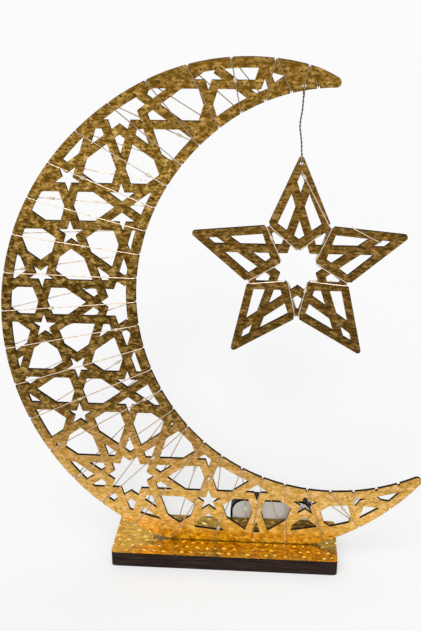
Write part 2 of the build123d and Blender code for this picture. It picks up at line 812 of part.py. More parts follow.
# Slide switch between the cells: a knob through the top wall, and the leaf that it presses
knob_x = cells_x - switch_travel / 2
flange_top = cavity_top - inner_gap
with BuildPart() as switch_knob:
    with BuildSketch(Plane.XY.offset(flange_top - flange_thickness)):
        with Locations((knob_x, cavity_middle)):
            Rectangle(flange_length, flange_width)
    extrude(amount=flange_thickness)
    with BuildSketch(Plane.XY.offset(flange_top)):
        with Locations((knob_x, cavity_middle)):
            Rectangle(knob_length, knob_width)
    extrude(amount=box_height + knob_height - flange_top)
switch_knob.part.label = "switch_knob"
export_step(switch_knob.part, "parts/switch_knob.step")

leaf_top = flange_top - flange_thickness - inner_gap
with BuildPart() as switch_contact:
    with BuildSketch(Plane.XY.offset(leaf_top - contact_thickness)):
        with Locations((cells_x, (cavity_front + body_rear) / 2 - inner_gap)):
            Rectangle(flange_length, body_rear - cavity_front - 2 * inner_gap)
    extrude(amount=contact_thickness)
switch_contact.part.label = "switch_contact"
export_step(switch_contact.part, "parts/switch_contact.step")

# Places that the record repeats
print("panel middle y", round(panel_middle, 3), "hanger hole", hanger_x, round(hanger_z, 3))
print("upper eye z", round(upper_eye_z, 3), "lower eye z", round(lower_eye_z, 3))
print("star middle", round(star.X, 3), round(star.Y, 3), "bay middle", round(bay.X, 3), round(bay.Y, 3))
print("crescent middle", round(centre.X, 3), round(centre.Y, 3))
print("box y", round(box_front, 3), round(box_rear, 3), "knob", round(knob_x, 3), round(cavity_middle, 3))
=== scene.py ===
# Looks of the crescent ornament: embossed gold foil on scorched board, copper light wire with clear
# drops, a twisted wire hanger and a small battery box, on a pale floor under soft studio light.
# Sizes are in millimetres, as in the part's source, and become metres where an object is made.
from math import atan2, cos, degrees, pi, radians, sin, sqrt
from random import Random

import bmesh
import bpy
from mathutils import Matrix, Vector


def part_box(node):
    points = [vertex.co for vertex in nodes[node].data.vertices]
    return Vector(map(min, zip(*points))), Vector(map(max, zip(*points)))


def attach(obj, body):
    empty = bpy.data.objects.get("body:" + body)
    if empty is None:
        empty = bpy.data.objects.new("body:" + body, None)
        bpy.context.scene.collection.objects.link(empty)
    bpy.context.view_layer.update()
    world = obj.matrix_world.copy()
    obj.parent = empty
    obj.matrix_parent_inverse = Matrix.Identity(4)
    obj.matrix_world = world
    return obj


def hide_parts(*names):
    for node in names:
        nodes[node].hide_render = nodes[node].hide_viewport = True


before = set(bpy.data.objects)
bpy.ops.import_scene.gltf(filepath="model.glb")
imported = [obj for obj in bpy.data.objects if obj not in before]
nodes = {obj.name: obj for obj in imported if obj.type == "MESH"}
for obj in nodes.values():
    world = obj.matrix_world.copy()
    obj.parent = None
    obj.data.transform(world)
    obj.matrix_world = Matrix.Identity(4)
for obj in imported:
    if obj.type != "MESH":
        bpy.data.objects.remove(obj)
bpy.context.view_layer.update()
mm = 0.001

# Boards
panel_front, panel_back = (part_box("crescent_board")[k].y / mm for k in (0, 1))
panel_middle = (panel_front + panel_back) / 2
base_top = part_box("base_board")[1].z / mm

# Crescent outline and the notches along its edges
outer_radius = 151.3
upper_radius, upper_start = outer_radius * 0.817, 62.6
lower_radius, lower_start = outer_radius * 0.8724, 42.2
tip_arc_radius, tip_arc_end = outer_radius * 0.3966, 77.0
bay_radius = outer_radius * 0.8026
bay_upper_radius, bay_upper_end = outer_radius * 0.6404, 126.4
bay_lower_radius, bay_lower_end = outer_radius * 0.7241, 222.6
crescent_insert = 7.0  # depth of the board in the base's slot
inner_notches, inner_first, inner_step = 29, 285.4, 6.545
outer_notches, outer_first, outer_step = 26, 303.5, 8.72
outer_low_notches, outer_low_step = 8, 9.27  # the ones over the base stand further apart
tip_notch_back = 2.0  # the notch at the upper tip, nearer its neighbour by this many degrees
inner_lead = 2  # inner notches nearer the lower tip than the first outer one
border_width = 5.5
border_middle = border_width / 2

# Star
tile = outer_radius * 0.1454  # edge of the pattern's tiles
star_tip_radius = tile * 2.855
star_notch_radius = tile * 1.3136
star_hole_radius = star_tip_radius - 5.8
star_arms, arm_step = 5, 72
notch_first, hole_first = 54, 18  # directions of the first notch and of the middle hole's first corner
hole_pass = 10.073  # from the star's middle to where the wire goes through the middle hole
hole_spread, notch_spread = 1.0, 0.8  # half the space between two passes of the wire
wire_start, wire_end = 3.5, 6.1  # below the hanging hole, and short of the first notch
# Stretch of wire over the right arm, as radius and angle about the star's middle
arm_wire = [(36.5, 38.9), (42.9, 23.6), (46.2, 19.3), (43.0, 18.0)]

# Hanger
hanger_length = 39.56
hanger_edge = 2.2  # from the bay's edge to the crescent's hole
eye_radius = 2.3
ring_turns, ring_points = 1.9, 16  # turns of a ring's wire, and control points for each turn
eye_start, star_ring_start = -70, 110  # directions in which the rings' wires begin
wide_spread, narrow_spread = 0.6, 0.5  # width of a ring's turns side by side
eye_lift = 0.6  # of the upper ring's second wire over its first, at the top
shank_gap = 0.3
shank_bow, shank_ripple = 1.0, 0.4
strand_radius = 0.26
twist_radius = strand_radius * 1.05
twist_pitch, twist_points = 4.2, 8  # length of a full turn, and control points for each

# Light wire
wire_radius = 0.3
wire_gap = 0.15
pass_depth = 0.6  # how deep in a notch the wire goes through
straight_from = 1.2  # how near a bend the wire is straight again
first_window = Vector((1.2, -6.6))  # from the first notch the wire uses to the window it comes out of
tip_pass_angle = 0.3  # between two passes in one notch, in degrees about the crescent's middle
tip_wire_end = 1.5  # above the hanger's hole
tail_length, tail_direction = 4.2, 114  # the wire's end at the upper tip
wire_front = panel_front - wire_radius - wire_gap
wire_back = panel_back + wire_radius + wire_gap

# Light drops
drop_length, drop_width, drop_height = 3.4, 1.9, 1.9
drop_lift = 0.5  # from the wire's middle to the drop's middle
drop_seed = 7
drop_growth, drop_lean = (0.92, 1.06), 0.12  # how far drops differ in width, and lean to one end
egg_power = 2.6  # 2 would be an ellipse, and more is blunter
plain_drop_length, drop_slack = 3.0, 0.1  # of the solids that the drops replace
foot_depth = 0.02  # how near to a solid's lowest plane the corners of its foot lie


def polar(radius, angle):
    return Vector((radius * cos(radians(angle)), radius * sin(radians(angle))))


lower_offset = polar(outer_radius - lower_radius, 180 + lower_start)
centre = Vector((outer_radius * 0.1566, base_top - crescent_insert + lower_radius - lower_offset.y))
bay = centre + Vector((0.3117, 0.1095)) * outer_radius
bay_upper = bay + polar(bay_radius - bay_upper_radius, bay_upper_end)
hanger_x = centre.x + outer_radius * 0.0985
hanger_z = bay_upper.y + sqrt(bay_upper_radius**2 - (hanger_x - bay_upper.x) ** 2) + hanger_edge
star = Vector((hanger_x, hanger_z - hanger_length - star_hole_radius))

# Each edge as tangent arcs: (middle, radius, last angle about that middle)
upper = centre + polar(outer_radius - upper_radius, 180 - upper_start)
last_angle = 340  # past the last notch of either edge
outer_arcs = [
    (upper + polar(upper_radius - tip_arc_radius, tip_arc_end), tip_arc_radius, tip_arc_end),
    (upper, upper_radius, 180 - upper_start),
    (centre, outer_radius, 180 + lower_start),
    (centre + lower_offset, lower_radius, last_angle),
]
bay_arcs = [
    (bay_upper, bay_upper_radius, bay_upper_end),
    (bay, bay_radius, bay_lower_end),
    (bay + polar(bay_radius - bay_lower_radius, bay_lower_end), bay_lower_radius, last_angle),
]


def arc_end(middle, arc):
    """The direction from the edge's middle in which an arc of the edge ends."""
    arc_middle, radius, last = arc
    end = arc_middle + polar(radius, last) - middle
    return degrees(atan2(end.y, end.x)) % 360


def edge_point(middle, arcs, angle, grow):
    """The point of an edge in this direction from its middle, moved outward by the given amount."""
    arc_middle, radius, _ = next(arc for arc in arcs if angle < arc_end(middle, arc))
    offset = arc_middle - middle
    direction = polar(1, angle)
    along = direction.dot(offset)
    point = middle + direction * (along + sqrt(along**2 - offset.length_squared + radius**2))
    return point + (point - arc_middle).normalized() * grow


def at(point, y):
    return Vector((point.x, y, point.y))


class Field:
    """A value of a shader graph that takes part in arithmetic."""

    def __init__(self, graph, socket):
        self.graph, self.socket = graph, socket

    def calc(self, operation, *others):
        node = self.graph.add("ShaderNodeMath", operation=operation)
        for k, value in enumerate((self,) + others):
            self.graph.feed(node.inputs[k], value)
        return Field(self.graph, node.outputs[0])

    def __add__(self, other):
        return self.calc("ADD", other)

    def __sub__(self, other):
        return self.calc("SUBTRACT", other)

    def __mul__(self, other):
        return self.calc("MULTIPLY", other)

    def __truediv__(self, other):
        return self.calc("DIVIDE", other)

    def step(self, low, high):
        """0 below low, 1 above high, smooth between them. With low above high it falls."""
        node = self.graph.add("ShaderNodeMapRange", interpolation_type="SMOOTHSTEP")
        rising = low < high
        for name, value in (("Value", self), ("From Min", min(low, high)), ("From Max", max(low, high)),
                            ("To Min", 0.0 if rising else 1.0), ("To Max", 1.0 if rising else 0.0)):
            self.graph.feed(node.inputs[name], value)
        return Field(self.graph, node.outputs["Result"])


class Graph:
    """A material of one Principled shader, and the fields that drive it, in millimetres of the object."""

    def __init__(self, name):
        self.material = bpy.data.materials.new(name)
        self.material.use_nodes = True
        self.tree = self.material.node_tree
        self.shader = self.tree.nodes["Principled BSDF"]
        coords = self.add("ShaderNodeTexCoord")
        scale = self.add("ShaderNodeVectorMath", operation="SCALE")
        scale.inputs["Scale"].default_value = 1 / mm
        self.tree.links.new(coords.outputs["Object"], scale.inputs[0])
        self.place = scale.outputs[0]
        self.x, self.y, self.z = self.parts(self.place)
        self.facing = self.parts(coords.outputs["Normal"])

    def add(self, kind, **settings):
        node = self.tree.nodes.new(kind)
        for name, value in settings.items():
            setattr(node, name, value)
        return node

    def feed(self, socket, value):
        if isinstance(value, Field):
            value = value.socket
        if isinstance(value, bpy.types.NodeSocket):
            self.tree.links.new(value, socket)
        elif isinstance(value, tuple) and len(value) == 3 and socket.type == "RGBA":
            socket.default_value = value + (1.0,)
        else:
            socket.default_value = value

    def parts(self, vector):
        node = self.add("ShaderNodeSeparateXYZ")
        self.tree.links.new(vector, node.inputs[0])
        return [Field(self, node.outputs[k]) for k in range(3)]

    def stretched(self, size, stretch):
        """Places in units of this many millimetres, times the stretch along each axis."""
        mapping = self.add("ShaderNodeMapping")
        self.tree.links.new(self.place, mapping.inputs["Vector"])
        mapping.inputs["Scale"].default_value = [1 / (size * s) for s in stretch]
        return mapping.outputs[0]

    def noise(self, size, detail=2.0, stretch=(1, 1, 1)):
        """Noise from 0 to 1 with features about this many millimetres wide."""
        node = self.add("ShaderNodeTexNoise")
        self.feed(node.inputs["Vector"], self.stretched(size, stretch))
        node.inputs["Scale"].default_value = 1.0
        node.inputs["Detail"].default_value = detail
        return Field(self, node.outputs["Fac"])

    def pores(self, size, stretch=(1, 1, 1)):
        """Distance to the nearest of points scattered this many millimetres apart."""
        node = self.add("ShaderNodeTexVoronoi")
        self.feed(node.inputs["Vector"], self.stretched(size, stretch))
        node.inputs["Scale"].default_value = 1.0
        return Field(self, node.outputs["Distance"])

    def chance(self, first, second):
        """A random value from 0 to 1 for each pair of whole numbers."""
        pair = self.add("ShaderNodeCombineXYZ")
        self.feed(pair.inputs[0], first)
        self.feed(pair.inputs[1], second)
        node = self.add("ShaderNodeTexWhiteNoise", noise_dimensions="2D")
        self.tree.links.new(pair.outputs[0], node.inputs["Vector"])
        return Field(self, node.outputs["Value"])

    def brink(self, reach):
        """1 at a sharp edge of the mesh, falling to 0 this many millimetres from it."""
        flat, sharp = 0.995, 0.80  # agreement of the true normal with the rounded one
        bevel = self.add("ShaderNodeBevel", samples=6)
        bevel.inputs["Radius"].default_value = reach * mm
        true = self.add("ShaderNodeNewGeometry")
        across = self.add("ShaderNodeVectorMath", operation="DOT_PRODUCT")
        self.tree.links.new(bevel.outputs[0], across.inputs[0])
        self.tree.links.new(true.outputs["True Normal"], across.inputs[1])
        return Field(self, across.outputs["Value"]).step(flat, sharp)

    def mix(self, amount, first, second):
        node = self.add("ShaderNodeMix", data_type="RGBA")
        # A colour mix has its factor and its two colours on these inputs, and its result on output 2
        for k, value in ((0, amount), (6, first), (7, second)):
            self.feed(node.inputs[k], value)
        return node.outputs[2]

    def ramp(self, amount, stops):
        node = self.add("ShaderNodeValToRGB")
        self.feed(node.inputs[0], amount)
        elements = node.color_ramp.elements
        while len(elements) < len(stops):
            elements.new(0.5)
        for element, (position, colour) in zip(elements, stops):
            element.position, element.color = position, colour + (1.0,)
        return node.outputs[0]

    def relief(self, height, depth):
        """Bump of this depth in millimetres where the height goes from 0 to 1."""
        node = self.add("ShaderNodeBump")
        node.inputs["Strength"].default_value = 1.0
        node.inputs["Distance"].default_value = depth * mm
        self.feed(node.inputs["Height"], height)
        return node.outputs[0]

    def done(self, colour, **inputs):
        self.feed(self.shader.inputs["Base Color"], colour)
        for name, value in inputs.items():
            self.feed(self.shader.inputs[name.title()], value)
        return self.material


def emboss(graph, across, up, pitch, row):
    """Staggered rows of low domes pressed into the foil: distance from the middle of the nearest one and
    from the nearer of its two dimples, as a share of its size, and a chance for each."""
    waver, waver_size = 0.9, 9.0
    arch = 1.2  # how far a dome's sides hang down
    dome_across, dome_up = 4.2, 5.0
    dimple_offset, dimple_up = 0.16, 3.4
    wander = (graph.noise(waver_size) - 0.5) * waver
    level = up / row + wander
    line = level.calc("FLOOR")
    place = across / pitch + (line * 0.5).calc("FRACT") - wander
    across_cell = place.calc("FRACT") - 0.5
    up_cell = level.calc("FRACT") - 0.5
    lean = up_cell + across_cell * across_cell * arch
    distance = (across_cell * across_cell * dome_across + lean * lean * dome_up).calc("SQRT")
    beside = across_cell.calc("ABSOLUTE") - dimple_offset
    dimple = (beside * beside * dome_across + up_cell * up_cell * dimple_up).calc("SQRT")
    return distance, dimple, graph.chance(place.calc("FLOOR"), line)


def level_shade_dashes(graph, up, pitch):
    """Short bent level lines this far apart, 1 on their lines."""
    bend = graph.noise(6.0, 1.0) * 1.8
    line = ((up / pitch + bend).calc("FRACT") - 0.5).calc("ABSOLUTE").step(0.30, 0.12)
    return line * graph.noise(2.8, 1.0, (1.4, 1, 0.8)).step(0.44, 0.54)


# Foil: spacing of its domes along and between rows, depth of its relief, and its gloss
board_domes, board_relief = (8.4, 6.8), 0.25
base_domes, base_relief = (5.6, 5.2), 0.24
foil_metal, foil_specular = 0.85, 0.12
# Dark brown of the foil browned near its cuts, also used as painted shade in its dimples and dashes.
scorch_and_shade_brown = (0.045, 0.020, 0.004)


def gilding(graph, distance, luck, grain, tones):
    """Colour of the foil from three tones: mottled, with painted highlights on the domes and painted shade
    in dark dashes.
    """
    dark, middle, light = tones
    # Painted highlight: the domes lighter than the foil round them.
    dome = distance.step(1.0, 0.25)
    level = dome * (luck * 0.35 + 0.30) + (grain - 0.5) * 4.2 + 0.20
    mottle_and_highlight = graph.mix(level.step(-0.1, 0.45), dark, middle)
    mottle_and_highlight = graph.mix(level.step(0.45, 1.0), mottle_and_highlight, light)
    # Painted shade of the relief: dark dashes.
    dashes = graph.pores(3.4, (1.5, 1, 0.6)).step(0.30, 0.10) * luck.step(0.35, 0.8)
    return graph.mix(dashes * 0.75, mottle_and_highlight, dark)


def scuffs(graph):
    """Short thin squiggles, 1 on their lines."""
    line = (graph.noise(3.4, 1.0, (1.7, 1, 0.8)) - 0.5).calc("ABSOLUTE").step(0.026, 0.008)
    return line * graph.noise(2.6, 1.0).step(0.52, 0.60)


def scorched(graph, streak, tones):
    """Colour of a laser-cut edge, nearly black, with streaks of the board's layers, from three tones."""
    layers = graph.noise(1.0, 3.0, streak)
    return graph.ramp(layers, list(zip((0.3, 0.55, 0.75), tones)))


def fibreboard(graph):
    """Colour of the bare back of the board, with short fibres and a few darker specks."""
    fibres = graph.noise(1.6, 4.0, (2.6, 1, 1))
    specks = graph.noise(0.7, 1.0)
    colour = graph.ramp(fibres, [(0.3, (0.22, 0.125, 0.06)), (0.7, (0.36, 0.22, 0.115))])
    return graph.mix(specks.step(0.66, 0.78) * 0.6, colour, (0.1, 0.055, 0.028))


cut_tones = [(0.004, 0.003, 0.002), (0.010, 0.006, 0.004), (0.030, 0.018, 0.012)]
base_edge_tones = [(0.008, 0.005, 0.004), (0.024, 0.014, 0.011), (0.060, 0.038, 0.030)]


def board_material(name, reflection_bands, height_span, dimples, dashes):
    """Gold foil on the front, browned near its cuts, with scorched cut edges and a bare back. Its tones
    change with height, a painted reflection of the surroundings. Its dark dimples and level dashes, painted
    shade of its relief, are as strong as given."""
    g = Graph(name)
    front = (g.facing[1] * -1.0).step(0.4, 0.6)
    back = g.facing[1].step(0.4, 0.6)
    distance, dimple, luck = emboss(g, g.x, g.z, *board_domes)
    grain = g.noise(2.6, 2.0, (1.3, 1, 0.9)) * 0.6 + g.noise(1.1, 2.0, (1.5, 1, 0.8)) * 0.6 - 0.1
    level = (g.z - height_span[0]) / (height_span[1] - height_span[0]) + (g.noise(22.0) - 0.5) * 0.10
    # Painted reflection: the foil's tones change with height.
    tones = [g.ramp(level, [(band[0], band[k]) for band in reflection_bands]) for k in (1, 2, 3)]
    gilt = gilding(g, distance, luck, grain, tones)
    # Painted shade in the dimples of the domes, on the upper crescent.
    gilt = g.mix(dimple.step(0.20, 0.09) * level.step(0.50, 0.80) * dimples, gilt, scorch_and_shade_brown)
    # Painted shade of the relief: dark level dashes, as strong as given.
    gilt = g.mix(level_shade_dashes(g, g.z, 2.3) * dashes, gilt, scorch_and_shade_brown)
    gilt = g.mix(scuffs(g) * level.step(0.36, 0.27) * 0.75, gilt, (0.20, 0.12, 0.045))
    gilt = g.mix(g.brink(0.5) * 0.6, gilt, scorch_and_shade_brown)
    body = g.mix(back, scorched(g, (1, 0.25, 1), cut_tones), fibreboard(g))
    colour = g.mix(front, body, gilt)
    roughness = front * ((grain - 0.5) * 0.25 - 0.48) + 0.84
    bumps = distance.step(1.0, 0.1) * (luck * 0.6 + 0.5) + grain * 0.8
    height = front * bumps + back * (g.noise(0.9, 3.0) * 0.4)
    g.feed(g.shader.inputs["Specular IOR Level"], foil_specular)
    normal = g.relief(height, board_relief)
    return g.done(colour, metallic=front * foil_metal, roughness=roughness, normal=normal)


def base_material():
    """Gold foil on top with painted glints, paler at its left end as a painted reflection, scorched sides
    with fine level streaks, bare underneath.
    """
    reflection_span = (-34, -50)  # where the top turns paler
    slot_side, slot_end = (2.6, 2.2), (66.0, 65.0)  # how far the slot's bare walls reach from its middle
    g = Graph("base_gold")
    top = g.facing[2].step(0.4, 0.6) * g.z.step(base_top - 0.6, base_top - 0.3)
    under = (g.facing[2] * -1.0).step(0.4, 0.6)
    distance, _, luck = emboss(g, g.x, g.y, *base_domes)
    grain = g.noise(2.2, 3.0, (1.4, 1, 1))
    # Painted reflection: the top paler towards its left end.
    end = g.x.step(*reflection_span)
    dark = g.mix(end, (0.165, 0.080, 0.001), (0.34, 0.17, 0.012))
    light = g.mix(end, (0.32, 0.185, 0.012), (0.56, 0.305, 0.034))
    gilt = g.mix(grain.step(0.35, 0.62), dark, light)
    # Painted glints: bright specks on the domes of the top.
    specks = distance.step(0.55, 0.20) * luck.step(0.10, 0.60)
    gilt = g.mix(specks * 0.85, gilt, (0.88, 0.66, 0.24))
    slot = (g.y - panel_middle).calc("ABSOLUTE").step(*slot_side) * g.x.calc("ABSOLUTE").step(*slot_end)
    raw = g.ramp(g.noise(1.2, 3.0, (3, 1, 1)), [(0.3, (0.34, 0.19, 0.06)), (0.7, (0.52, 0.33, 0.12))])
    body = g.mix(under, g.mix(slot, scorched(g, (14, 14, 0.5), base_edge_tones), raw), fibreboard(g))
    colour = g.mix(top, body, gilt)
    roughness = top * ((grain - 0.5) * 0.2 - 0.55) + 0.82
    bumps = distance.step(1.0, 0.1) * (luck * 0.6 + 0.6) + grain * 0.6
    streaks = g.noise(0.5, 2.0, (14, 14, 0.6)) * -0.4
    height = top * bumps + (top - 1.0) * streaks
    g.feed(g.shader.inputs["Specular IOR Level"], foil_specular)
    normal = g.relief(height, base_relief)
    return g.done(colour, metallic=top * foil_metal, roughness=roughness, normal=normal)


def wire_material(name, bright, dull, low, high):
    """Thin lacquered wire, with duller spots where the lacquer has thinned, and with other tones low down
    and high up on the object, which are painted reflection."""
    low_span, high_span = (130, 70), (225, 265)  # heights between which the tone changes
    g = Graph(name)
    spots = g.noise(3.0, 3.0)
    colour = g.mix(spots.step(0.4, 0.7), bright, dull)
    # Painted reflection: other tones low down and high up.
    colour = g.mix(g.z.step(*low_span), colour, low)
    colour = g.mix(g.z.step(*high_span), colour, high)
    return g.done(colour, metallic=0.9, roughness=spots * 0.25 + 0.2, normal=g.relief(g.noise(0.4), 0.02))


def resin_material():
    """Clear resin round a tiny light, yellowish and a little cloudy towards its middle."""
    g = Graph("clear_drop")
    cloud = g.noise(0.8, 2.0)
    colour = g.mix(cloud.step(0.35, 0.7), (0.95, 0.92, 0.80), (0.92, 0.80, 0.50))
    g.feed(g.shader.inputs["Transmission Weight"], 0.55)
    g.feed(g.shader.inputs["IOR"], 1.5)
    return g.done(colour, roughness=cloud * 0.1 + 0.08, normal=g.relief(cloud, 0.03))


def plastic_material(name, light, dark, grain=0.5, gloss=0.42, sheen=0.5):
    """Moulded plastic with a fine spark-eroded grain and faint handling marks."""
    g = Graph(name)
    texture = g.noise(grain, 2.0)
    marks = g.noise(7.0, 4.0)
    colour = g.mix(marks.step(0.35, 0.75), light, dark)
    roughness = (texture - 0.5) * 0.15 + (marks - 0.5) * 0.2 + gloss
    g.feed(g.shader.inputs["Specular IOR Level"], sheen)
    return g.done(colour, roughness=roughness, normal=g.relief(texture, 0.03))


def foam_material():
    """White foam with small open cells, darkened inside them by painted shade."""
    g = Graph("foam_tape")
    cells = g.pores(0.7)
    colour = g.mix(cells.step(0.1, 0.6), (0.30, 0.30, 0.29), (0.62, 0.62, 0.60))
    return g.done(colour, roughness=0.9, normal=g.relief(cells, 0.12))


def metal_material(name, light, dark, stretch):
    """Brushed plated metal, its brushing along the stretched axis."""
    g = Graph(name)
    brushing = g.noise(0.25, 3.0, stretch)
    stain = g.noise(4.0, 2.0)
    colour = g.mix(brushing * 0.5 + stain * 0.4, dark, light)
    return g.done(colour, metallic=0.95, roughness=brushing * 0.2 + 0.2, normal=g.relief(brushing, 0.015))


# Tones of the foil from the lowest to the highest point of the boards, their change with height a painted
# reflection of the surroundings: (place, dark, middle, light)
crescent_reflection_bands = [
    (0.03, (0.38, 0.200, 0.001), (0.66, 0.370, 0.004), (0.84, 0.55, 0.045)),
    (0.085, (0.70, 0.385, 0.066), (0.90, 0.530, 0.145), (0.97, 0.60, 0.24)),
    (0.16, (0.56, 0.310, 0.056), (0.76, 0.447, 0.131), (0.87, 0.545, 0.218)),
    (0.23, (0.375, 0.197, 0.032), (0.555, 0.313, 0.088), (0.72, 0.414, 0.162)),
    (0.34, (0.083, 0.042, 0.005), (0.208, 0.117, 0.022), (0.44, 0.27, 0.086)),
    (0.55, (0.053, 0.025, 0.002), (0.175, 0.096, 0.017), (0.40, 0.255, 0.074)),
    (0.78, (0.132, 0.068, 0.006), (0.320, 0.182, 0.033), (0.61, 0.375, 0.105)),
    (1.0, (0.143, 0.069, 0.006), (0.248, 0.135, 0.022), (0.375, 0.22, 0.058)),
]
star_reflection_bands = [
    (0.0, (0.072, 0.037, 0.004), (0.148, 0.077, 0.015), (0.285, 0.17, 0.050)),
    (1.0, (0.150, 0.076, 0.009), (0.262, 0.140, 0.027), (0.39, 0.235, 0.075)),
]
base_gold = base_material()
crescent_gold = board_material("crescent_gold", crescent_reflection_bands, height_span=(0.0, 300.0),
                               dimples=0.85, dashes=0.15)
star_span = (star.y - 55, star.y + 63)
star_gold = board_material("star_gold", star_reflection_bands, height_span=star_span, dimples=0.0, dashes=0.75)
light_wire = wire_material("light_wire", bright=(0.78, 0.64, 0.50), dull=(0.54, 0.41, 0.30),
                           low=(0.58, 0.44, 0.28), high=(0.36, 0.25, 0.15))
steel, dark_steel = (0.26, 0.235, 0.21), (0.07, 0.06, 0.052)
hanger_metal = wire_material("hanger_wire", bright=steel, dull=dark_steel, low=dark_steel,
                             high=(0.16, 0.125, 0.09))
drop_resin = resin_material()
box_dark = plastic_material("box_dark", (0.006, 0.006, 0.0065), (0.014, 0.0135, 0.0135), sheen=0.06)
box_white = plastic_material("box_white", (0.90, 0.91, 0.92), (0.84, 0.85, 0.85), gloss=0.35)
knob_dark = plastic_material("knob_dark", (0.05, 0.05, 0.052), (0.08, 0.08, 0.082), grain=0.35)
foam_tape = foam_material()
cell_can = metal_material("cell_can", (0.78, 0.77, 0.75), (0.55, 0.54, 0.52), (1, 1, 10))
contact_metal = metal_material("contact_metal", (0.74, 0.72, 0.66), (0.50, 0.48, 0.42), (10, 1, 1))

finishes = {
    "base_board": base_gold,
    "crescent_board": crescent_gold,
    "star_board": star_gold,
    "battery_body": box_dark,
    "battery_cover": box_dark,
    "front_plate": box_white,
    "mounting_tape": foam_tape,
    "left_cell": cell_can,
    "right_cell": cell_can,
    "cell_link": contact_metal,
    "left_terminal": contact_metal,
    "right_terminal": contact_metal,
    "switch_contact": contact_metal,
    "switch_knob": knob_dark,
}
for name, finish in finishes.items():
    slots = nodes[name].data.materials
    slots.clear()
    slots.append(finish)


def straight_runs(corners):
    """Control points that keep each run between two corners straight nearly up to its bends."""
    points = [corners[0]]
    for start, end in zip(corners[:-1], corners[1:]):
        run = end - start
        if run.length > 4 * straight_from:
            step = run.normalized() * straight_from
            points += [start + step, end - step]
        points.append(end)
    return points


def wire(name, lines, radius, finish, body, node):
    """A round wire along one or more smooth lines of control points, in place of a CAD node."""
    data = bpy.data.curves.new(name, "CURVE")
    data.dimensions = "3D"
    data.bevel_depth = radius * mm
    data.bevel_resolution = 3
    data.resolution_u = 6
    data.use_fill_caps = True
    for points in lines:
        spline = data.splines.new("NURBS")
        spline.points.add(len(points) - 1)
        for control, point in zip(spline.points, points):
            control.co = (*(point * mm), 1.0)
        spline.order_u = 3
        spline.use_endpoint_u = True
    piece = bpy.data.objects.new(name, data)
    bpy.context.scene.collection.objects.link(piece)
    data.materials.append(finish)
    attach(piece, body)
    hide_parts(node)


# Winding of the crescent: from a small window of the lower tip up to the bay's edge, then time after time
# across the front to the outer edge and slanting back behind to the bay
inner_angles = [inner_first - inner_step * j for j in range(inner_notches)]
outer_angles = [outer_first - outer_low_step * j for j in range(outer_low_notches)]
outer_turn = outer_first - outer_low_step * outer_low_notches
outer_angles += [outer_turn - outer_step * j for j in range(outer_notches - outer_low_notches)]
outer_angles[-1] += tip_notch_back
inner_passes = [edge_point(bay, bay_arcs, a, pass_depth) for a in inner_angles]
outer_passes = [edge_point(centre, outer_arcs, a, -pass_depth) for a in outer_angles]
first_pass = inner_passes[inner_lead]
window_pass = first_pass + first_window
crescent_route = [
    at(edge_point(bay, bay_arcs, inner_angles[inner_lead - 1], border_middle), wire_back),
    at(window_pass, wire_back),
    at(window_pass, wire_front),
    at(first_pass, wire_front),
    at(first_pass, wire_back),
]
for inner, outer in zip(inner_passes[inner_lead + 1:], outer_passes[1:-1]):
    crescent_route += [at(inner, wire_back), at(inner, wire_front)]
    crescent_route += [at(outer, wire_front), at(outer, wire_back)]

# At the upper tip the wire turns once more round the last notch but one, and ends over the hanger
tip_inner, tip_outer = inner_passes[-2], outer_passes[-1]
beside = edge_point(centre, outer_arcs, outer_angles[-2] - tip_pass_angle, -pass_depth)
crescent_route += [at(tip_inner, wire_back), at(tip_inner, wire_front)]
crescent_route += [at(beside, wire_front), at(beside, wire_back)]
crescent_route += [at(tip_outer, wire_back), at(tip_outer, wire_front)]
crescent_route.append(at(Vector((hanger_x, hanger_z + tip_wire_end)), wire_front))
tail_pass = inner_passes[-1]
tail_route = [
    at(edge_point(bay, bay_arcs, inner_angles[-1], border_middle), wire_back),
    at(tail_pass, wire_back),
    at(tail_pass, wire_front),
    at(tail_pass + polar(tail_length, tail_direction), wire_front),
]
crescent_lines = [straight_runs(crescent_route), straight_runs(tail_route)]
wire("light_wire_crescent", crescent_lines, wire_radius, light_wire,
     "stand", "crescent_winding")

# Winding of the star: from the hanging hole down the front, and round each notch and the middle hole
star_route = [at(star + Vector((0, star_hole_radius - wire_start)), wire_front)]
for k in range(star_arms):
    notch_angle, hole_angle = notch_first - arm_step * k, hole_first - arm_step * k
    for side in (1, -1):
        notch = star + polar(star_notch_radius - pass_depth, notch_angle)
        notch += polar(side * notch_spread, notch_angle + 90)
        hole = star + polar(hole_pass, hole_angle) + polar(side * hole_spread, hole_angle + 90)
        star_route += [at(notch, wire_front), at(notch, wire_back)]
        star_route += [at(hole, wire_back), at(hole, wire_front)]
last_run = star_route[1] - star_route[-1]
star_route.append(star_route[1] - last_run.normalized() * wire_end)

# A short stretch over the right arm, from its upper edge into the small window near its tip
arm_edge, arm_bend, arm_end, arm_tail = (star + polar(*place) for place in arm_wire)
arm_route = [at(arm_edge, wire_back), at(arm_edge, wire_front), at(arm_bend, wire_front)]
arm_route += [at(arm_end, wire_front), at(arm_end, wire_back), at(arm_tail, wire_back)]
star_lines = [straight_runs(star_route), straight_runs(arm_route)]
wire("light_wire_star", star_lines, wire_radius, light_wire, "star", "star_winding")


